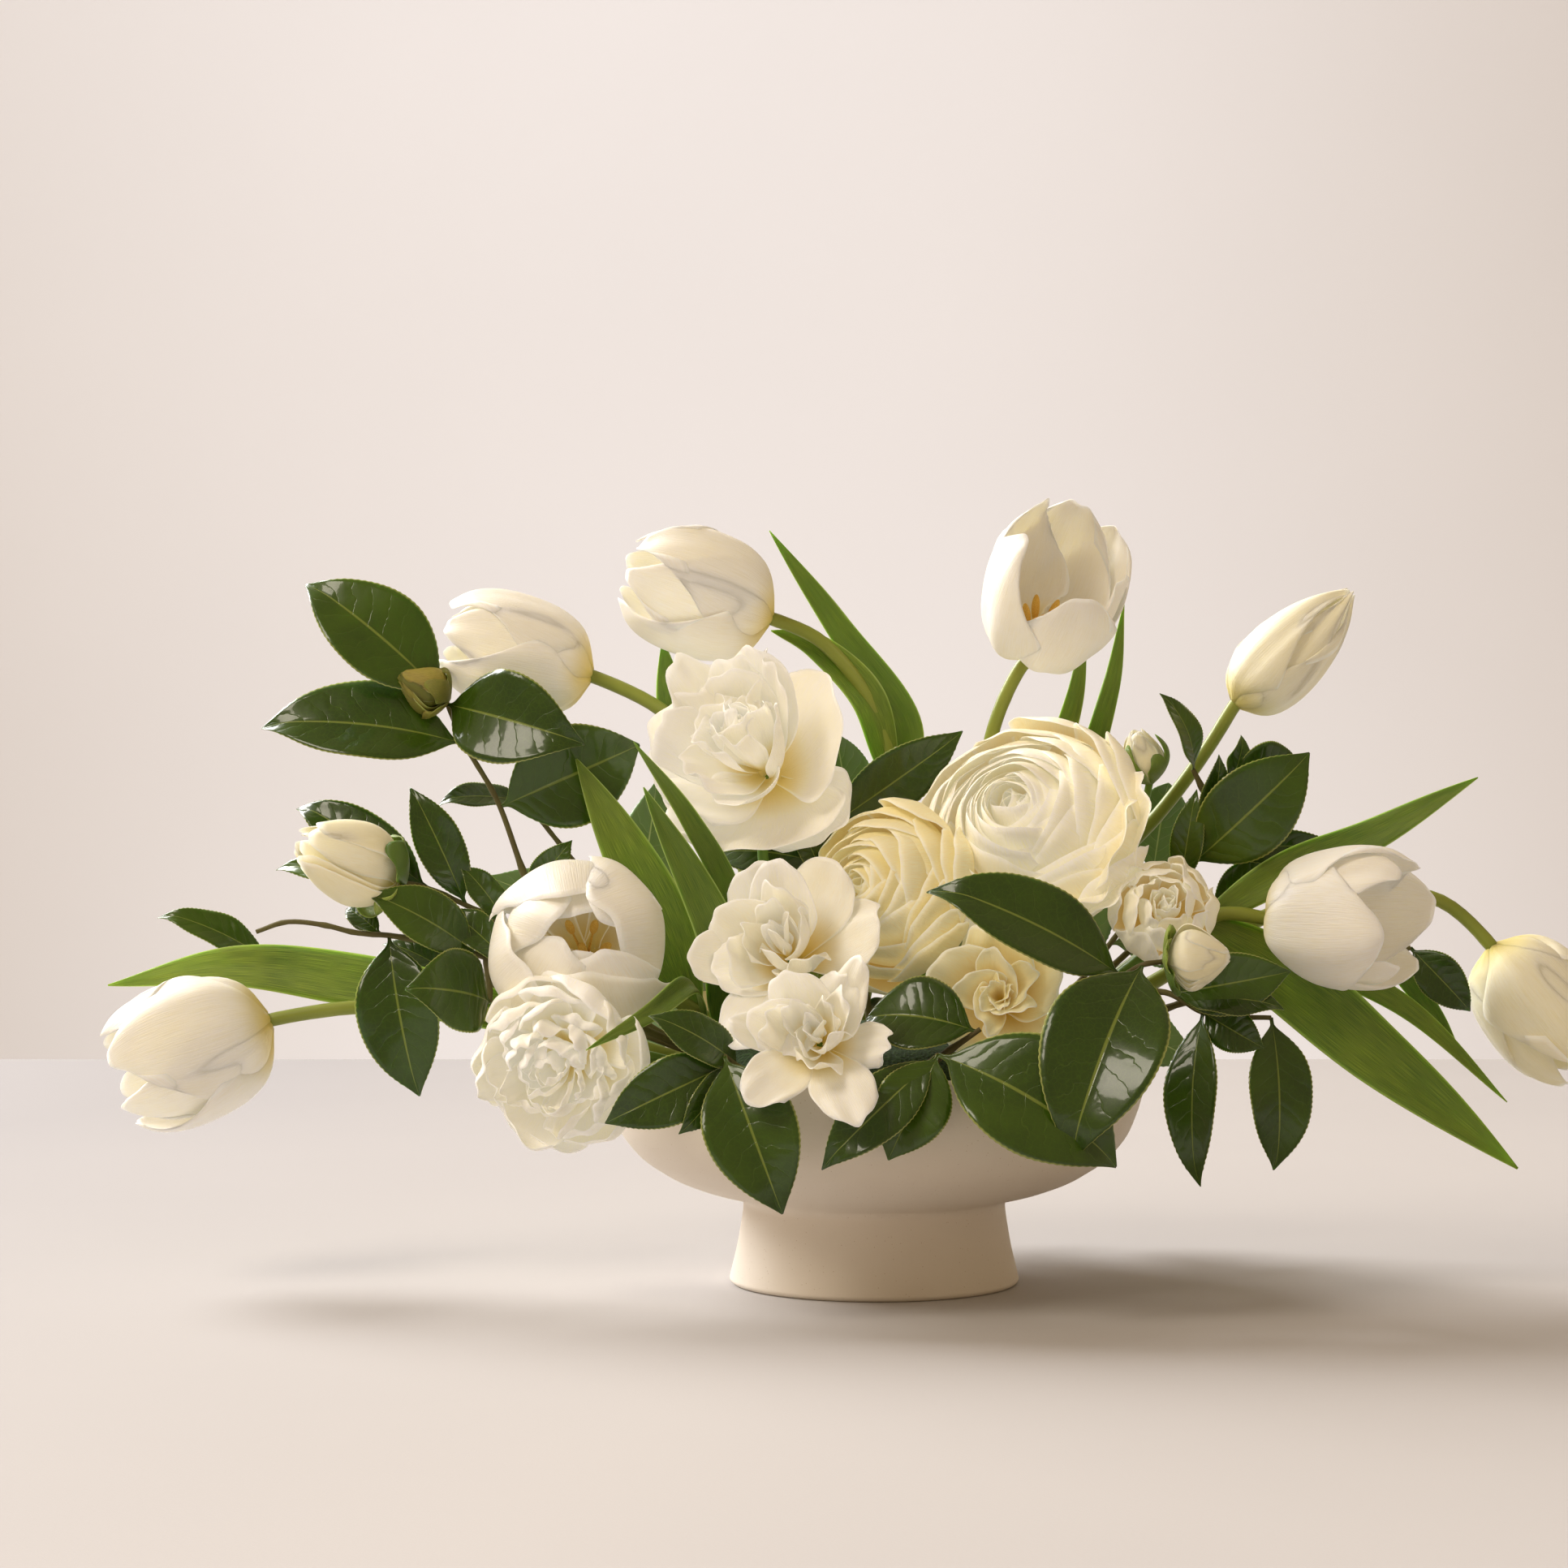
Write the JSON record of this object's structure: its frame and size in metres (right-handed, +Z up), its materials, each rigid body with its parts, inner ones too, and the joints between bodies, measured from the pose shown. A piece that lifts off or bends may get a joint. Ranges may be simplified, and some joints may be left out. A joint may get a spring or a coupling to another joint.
{
  "type": "floral table centrepiece",
  "caption": "Low footed bowl holding a wide loose arrangement of white and cream flowers, green tulip leaves and glossy dark leaf sprays.",
  "frame": {"origin": "centre of the bowl's foot, on its flat underside", "axes": "+Z up; +X to the right of a viewer who faces the front of the arrangement; +Y to the back"},
  "size_m": [0.6084, 0.2638, 0.3143],
  "materials": {
    "ceramic": "matte",
    "foam": "matte",
    "white_petal": "satin",
    "cream_petal": "satin",
    "pollen": "matte",
    "green_stem": "satin",
    "camellia_leaf": "gloss"
  },
  "bodies": {
    "root": {"tulip_far_left_petals": "white_petal", "tulip_upper_left_petals": "white_petal", "tulip_top_left_petals": "white_petal", "tulip_tall_open_petals": "white_petal", "tulip_pointed_bud_petals": "white_petal", "tulip_right_petals": "white_petal", "tulip_far_right_petals": "white_petal", "tulip_open_left_petals": "white_petal", "gardenia_lower_petals": "white_petal", "peony_petals": "white_petal", "gardenia_upper_petals": "white_petal", "lisianthus_petals": "cream_petal", "spray_rose_petals": "cream_petal", "ranunculus_large_petals": "white_petal", "camellia_bloom_petals": "white_petal", "ranunculus_side_petals": "cream_petal", "ranunculus_back_petals": "cream_petal", "rose_back_petals": "white_petal", "bud_round_petals": "cream_petal", "bud_half_open_petals": "cream_petal", "bud_upright_petals": "cream_petal", "tulip_far_left_stem": "green_stem", "tulip_upper_left_stem": "green_stem", "tulip_top_left_stem": "green_stem", "tulip_tall_open_stem": "green_stem", "tulip_pointed_bud_stem": "green_stem", "tulip_right_stem": "green_stem", "tulip_far_right_stem": "green_stem", "tulip_open_left_stem": "green_stem", "gardenia_lower_stem": "green_stem", "peony_stem": "green_stem", "gardenia_upper_stem": "green_stem", "lisianthus_stem": "green_stem", "spray_rose_stem": "green_stem", "ranunculus_large_stem": "green_stem", "camellia_bloom_stem": "green_stem", "ranunculus_side_stem": "green_stem", "ranunculus_back_stem": "green_stem", "rose_back_stem": "green_stem", "bud_upright_stem": "green_stem", "camellia_spray_front_left": "camellia_leaf", "camellia_spray_front_right": "camellia_leaf", "camellia_spray_front_centre": "camellia_leaf", "camellia_spray_right_low": "camellia_leaf", "camellia_spray_left_low": "camellia_leaf", "camellia_spray_left_high": "camellia_leaf", "camellia_spray_upper_left": "camellia_leaf", "camellia_spray_right_high": "camellia_leaf", "camellia_spray_far_left": "camellia_leaf", "camellia_spray_far_right": "camellia_leaf", "camellia_spray_centre_back": "camellia_leaf", "camellia_spray_back_left": "camellia_leaf", "camellia_spray_back_centre": "camellia_leaf", "camellia_spray_back_right": "camellia_leaf", "tulip_tall_open_stamens": "pollen", "tulip_open_left_stamens": "pollen", "floral_foam": "foam", "bowl": "ceramic"}
  },
  "joints": []
}
